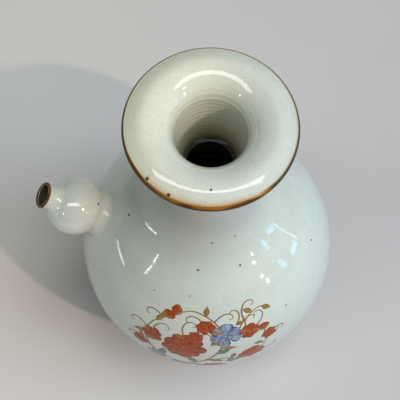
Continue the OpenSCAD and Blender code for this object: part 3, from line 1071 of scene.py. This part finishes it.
def spray_strokes():
    """A flowering branch that climbs to the right: blossoms and buds in red and blue, gold stems and green leaves."""
    pick = random.Random(11)
    red, gold, blue, green = [], [], [], []

    def flower(petals, mid, rings, *middle):
        petals.extend(blossom(mid, rings, pick))
        gold.extend(dots(mid, *middle, pick))

    for points, thick, thin in (
        ([(-22, -42), (-19, -30), (-10, -20), (1, -10), (8, 2), (10, 14), (5, 25), (-4, 31), (-11, 30)], 0.75, 0.3),
        ([(1, -10), (11, -8), (20, -11), (28, -6), (33, 4), (31, 13)], 0.6, 0.28),
        ([(-10, -20), (-19, -14), (-27, -4), (-30, 8), (-26, 19), (-19, 25)], 0.6, 0.28),
        ([(9, 9), (16, 16), (20, 24), (27, 30), (33, 28)], 0.5, 0.26),
    ):
        gold.append(stem(points, thick, thin, 0))
    for foot, angle, size, turn, thick in (
        ((20, 24), 1.9, 7.5, -1, 0.5), ((-27, -4), 2.5, 7.5, -1, 0.5), ((-28, 12), 2.2, 6.5, 1, 0.45),
        ((5, 25), 0.9, 6, -1, 0.45), ((28, -6), -0.7, 7, 1, 0.5), ((33, 4), 0.2, 5, 1, 0.4),
    ):
        gold.append(curl(foot, angle, size, turn, thick))
    for foot, angle, length in (
        ((9, 5), -0.1, 8), ((10, 15), 2.5, 7), ((24, 28), 2.4, 6), ((29, 30), -0.5, 6),
        ((-29, 3), 0.7, 7), ((-30, 9), 3.4, 7), ((-24, 21), 1.0, 6), ((-19, -14), 3.9, 8),
        ((15, -9), 1.4, 7), ((31, 1), 2.6, 6), ((-14, -24), 0.2, 7), ((1, 28.5), 1.6, 6),
    ):
        gold.append(leaf(foot, angle, length, 1.5, 0.02, pick.uniform(-0.25, 0.25)))
    large = (9, 4.2, 7.2, 3.4, 0.0), (8, 2.2, 5.4, 2.7, 0.03), (6, 0.6, 3.6, 1.7, 0.06)
    flower(red, (-10, 4), large, 1.7, 7, 0.55, 0.1)
    flower(red, (25, -8), ((7, 2.2, 5.4, 2.7, 0.0), (6, 0.8, 3.4, 1.8, 0.03)), 1.2, 5, 0.5, 0.07)
    flower(red, (5, -25), ((8, 2.6, 5.8, 2.9, 0.0), (6, 0.8, 3.8, 1.9, 0.03)), 1.3, 5, 0.5, 0.07)
    for tip, angle in (((-19, 25), 0.9), ((31, 13), 1.8), ((-11, 30), 2.9)):
        for turn in (-0.45, 0.45, 0.0):
            red.append(petal(tip, angle + turn, 0.4, 5.2 - abs(turn), 1.8, 0.02 if turn else 0.05))
        gold.append(leaf(tip, angle + 0.9, 3.6, 0.9, 0.07, -0.2))
        gold.append(leaf(tip, angle - 0.9, 3.6, 0.9, 0.07, 0.2))
    for mid, size in (
        ((-26, 9), 1.05), ((1, 21.5), 0.9), ((23, 15.5), 1.0), ((-4, 14.5), 0.75), ((-33, -2), 0.85), ((34, 8), 0.8),
    ):
        rings = (7, 1.4 * size, 4.0 * size, 1.9 * size, 0.02), (5, 0.5 * size, 2.4 * size, 1.1 * size, 0.05)
        flower(red, mid, rings, 0.8 * size, 4, 0.42, 0.09)
    for foot, angle, size, turn in (
        ((-26, 9), 1.5, 8, -1), ((-20, 24), 2.4, 6, 1), ((1, 21), 2.0, 7, 1), ((23, 16), 0.6, 8, 1),
        ((23, 16), 2.1, 6.5, -1), ((-9, 12), 1.9, 8, -1), ((33, 6), 0.9, 6, -1), ((16, 22), 1.2, 6, 1),
        ((-31, 2), 2.9, 6, 1), ((4, 8), 1.4, 6, 1),
    ):
        gold.append(curl(foot, angle, size, turn, 0.48))
        gold.append(leaf(foot, angle - 0.7 * turn, 0.8 * size, 1.3, 0.02, -0.2 * turn))
    flower(blue, (11, 15), ((6, 2.2, 6.0, 3.3, 0.0), (5, 0.7, 3.6, 1.8, 0.03)), 1.2, 5, 0.5, 0.07)
    flower(blue, (-24, -13), ((5, 1.2, 4.6, 2.5, 0.0),), 0.8, 3, 0.45, 0.05)
    for foot, angle, length in (
        ((-3, -14), 2.2, 9), ((-6, -17), -1.0, 10), ((3, -8), -0.5, 9), ((14, -9), -1.6, 9), ((-15, -18), -1.3, 10),
        ((7, -1), 0.5, 8), ((-22, -10), 1.1, 8), ((19, -11), -2.2, 8), ((-19, -30), 0.2, 11), ((-21, -36), 2.4, 9),
    ):
        green.append(leaf(foot, angle, length, 2.2, 0.0, pick.uniform(-0.25, 0.25)))
    return {"red": red, "gold": gold, "blue": blue, "green": green}


def drawn(name, strokes, pick):
    """A mesh of the strokes' middle lines, with each point's half width, layer and shade."""
    places, links, widths, layers, shades = [], [], [], [], []
    for points, halves, layer in strokes:
        links += [(len(places) + k, len(places) + k + 1) for k in range(len(points) - 1)]
        places += [(q.x * MM, q.y * MM, 0) for q in points]
        widths += [w * MM for w in halves]
        layers += [layer * MM] * len(points)
        shades += [pick.random()] * len(points)
    return lined(name + "_lines", places, links, {"half_width": widths, "layer": layers, "shade": shades})


def body_ground(*pieces):
    """One mesh of the body's sections, for the brush to land on."""
    work = bmesh.new()
    for piece in pieces:
        work.from_mesh(piece.data)
    mesh = bpy.data.meshes.new("ground")
    work.to_mesh(mesh)
    work.free()
    return placed("ground", mesh)


def spray(*pieces):
    """Paints the spray on the front of the body."""
    azimuth, latitude = radians(SPRAY_AZIMUTH), radians(SPRAY_LATITUDE)
    ahead = (cos(latitude) * cos(azimuth), cos(latitude) * sin(azimuth), sin(latitude))
    right = (-sin(azimuth), cos(azimuth), 0.0)
    up = tuple(Vector(ahead).cross(Vector(right)))
    ground = body_ground(*pieces)
    brush, pick = brush_tree(), random.Random(5)
    for colour, strokes in spray_strokes().items():
        name, slot = "spray_" + colour, "enamel_" + colour
        mesh = grow(
            brush, drawn(name, strokes, pick),
            {
                "Ground": ground, "Body Middle": tuple(ON_BODY[0] * MM), "Body Radius": BODY_R * MM,
                "Ahead": ahead, "Right": right, "Up": up, "Coat Height": COAT_HEIGHT * MM,
                "Coat Depth": COAT_DEPTH * MM, "Step": BRUSH_STEP * MM, "Finish": enamel(slot, *ENAMELS[colour]),
            },
            name,
        )
        face_outwards(mesh)
        stand(mesh, name + "_painted", slot)
    cleared(ground)


def camera():
    """The photograph's viewing place: high in front, with the spout to the left."""
    focal, distance = 90.0, 0.532
    rise, pan, tilt, roll, turn = (radians(a) for a in (71.82, 0.47, 2.34, -2.05, 2.4))
    back = Vector((0, -cos(rise), sin(rise)))
    ahead, right = -back, Vector((1, 0, 0))
    above = right.cross(ahead)
    ahead, right = (Matrix.Rotation(pan, 3, above) @ v for v in (ahead, right))
    ahead, above = (Matrix.Rotation(tilt, 3, right) @ v for v in (ahead, above))
    right, above = (Matrix.Rotation(roll, 3, ahead) @ v for v in (right, above))
    whole = Matrix.Rotation(turn, 3, "Z")
    place = Vector((0, 0, BODY_Z * MM)) + whole @ (back * distance)
    right, above, ahead = (whole @ v for v in (right, above, ahead))
    data = bpy.data.cameras.new("camera")
    data.lens, data.sensor_width = focal, 36.0
    made = placed("camera", data)
    made.matrix_world = Matrix.Translation(place) @ Matrix((right, above, -ahead)).transposed().to_4x4()
    bpy.context.scene.camera = made


def cloth():
    """Pale cloth for the floor, with painted light across it and faint lighter clouds."""
    material, shader, place = new_finish("cloth")
    # Painted light: the cloth lighter and warmer on the left, darker and bluer on the right
    across = between(split(place)["X"], -0.15, 0.18)
    tint = blended(across, (0.63, 0.62, 0.62), (0.535, 0.55, 0.595))
    cloud = between(noise(place, 6.0, 3.0), 0.35, 0.65, 0.0, 0.12)
    tint = blended(cloud, tint, (0.72, 0.71, 0.71))
    feed(shader, {"Base Color": tint, "Roughness": 0.9, "Specular IOR Level": 0.15})
    return material


def floor():
    """A plain floor, far wider than the vessel."""
    mesh = bpy.data.meshes.new("floor")
    low, high = -FLOOR_HALF, FLOOR_HALF
    mesh.from_pydata([(low, low, 0), (high, low, 0), (high, high, 0), (low, high, 0)], [], [(0, 1, 2, 3)])
    mesh.materials.append(cloth())
    placed("floor", mesh)


def hang(name, data, place, aim):
    """Hangs a lamp so that it points at its aim."""
    made = placed(name, data)
    made.location = place
    made.rotation_mode = "QUATERNION"
    made.rotation_quaternion = (Vector(aim) - Vector(place)).to_track_quat("-Z", "Y")
    made.visible_camera = False
    return made


def panel(name, place, aim, size, power, colour, spread=180):
    """A soft studio lamp, which the glaze mirrors; a narrow spread keeps it off the floor."""
    data = bpy.data.lights.new(name, "AREA")
    data.shape = "RECTANGLE"
    data.size, data.size_y = size
    data.energy, data.color, data.spread = power, colour, radians(spread)
    hang(name, data, place, aim)


def fill(name, place, strength, width, colour):
    """Wide, even light from the direction of a place, too soft to be mirrored."""
    data = bpy.data.lights.new(name, "SUN")
    data.energy, data.color, data.angle = strength, colour, radians(width)
    hang(name, data, place, BODY_AIM).visible_glossy = False


def lights():
    """A long lamp over the mouth, even light from above and from the right, and small lamps of the room."""
    panel("overhead", (0.05, -0.641, 2.52), (0.05, 0, 0.21), (3.8, 0.54), 26.5, (1.0, 1.0, 0.97))
    panel("lamp", (1.36, -0.985, 1.43), BODY_AIM, (0.07, 0.07), 14.3, (1.0, 0.73, 0.52))
    fill("above", (0.45, 0.25, 2.2), 0.7, 24, (1.0, 1.0, 0.88))
    fill("window", (1.26, 0.0, 1.7), 0.81, 27, (0.79, 0.89, 1.0))
    fill("low_window", (2.15, 0.0, 0.55), 0.52, 24, (0.12, 0.6, 1.0))
    for k, (azimuth, height, size, power, colour) in enumerate((
        (-1.5, 0.23, (0.36, 0.22), 0.062, (0.22, 0.58, 1.0)),
        (-16, 0.48, (0.16, 0.42), 0.044, (0.25, 0.6, 1.0)),
        (5.5, 0.42, (0.05, 0.62), 0.022, (0.8, 0.92, 1.0)),
    )):
        a = radians(azimuth)
        place = (PANE_FAR * cos(a), PANE_FAR * sin(a), height)
        panel("pane_%d" % k, place, BODY_AIM, size, power, colour, NARROW)
    for name, place, size, power, colour in (
        ("shelf_lamp", (-1.95, -0.48, 0.12), (0.66, 0.04), 0.049, (1.0, 1.0, 1.0)),
        ("tall_lamp", (-1.5, -1.17, 0.8), (0.04, 0.36), 0.037, (1.0, 0.95, 0.85)),
        ("warm_lamp", (1.58, -1.1, 0.77), (0.1, 0.1), 0.0205, (1.0, 0.9, 0.75)),
        ("warm_lamp_low", (1.68, -1.09, 0.52), (0.08, 0.12), 0.0205, (1.0, 0.85, 0.65)),
    ):
        panel(name, place, SPOUT_AIM, size, power, colour, NARROW)
    world = bpy.data.worlds.new("room")
    world.use_nodes = True
    feed(world.node_tree.nodes["Background"], {"Color": (0.9, 0.95, 1.0, 1), "Strength": 0.015})
    bpy.context.scene.world = world


foot_ring()
foot_slip()
sections = lower_body(), belly_slip(), upper_body()
neck_slip()
neck()
mouth_slip()
mouth()
rim_dressing()
spout_bulb()
spout_slip()
spout_nozzle()
nozzle_slip()
tip_dressing()
spray(*sections)
camera()
floor()
lights()
bpy.context.scene.view_settings.view_transform = "Standard"
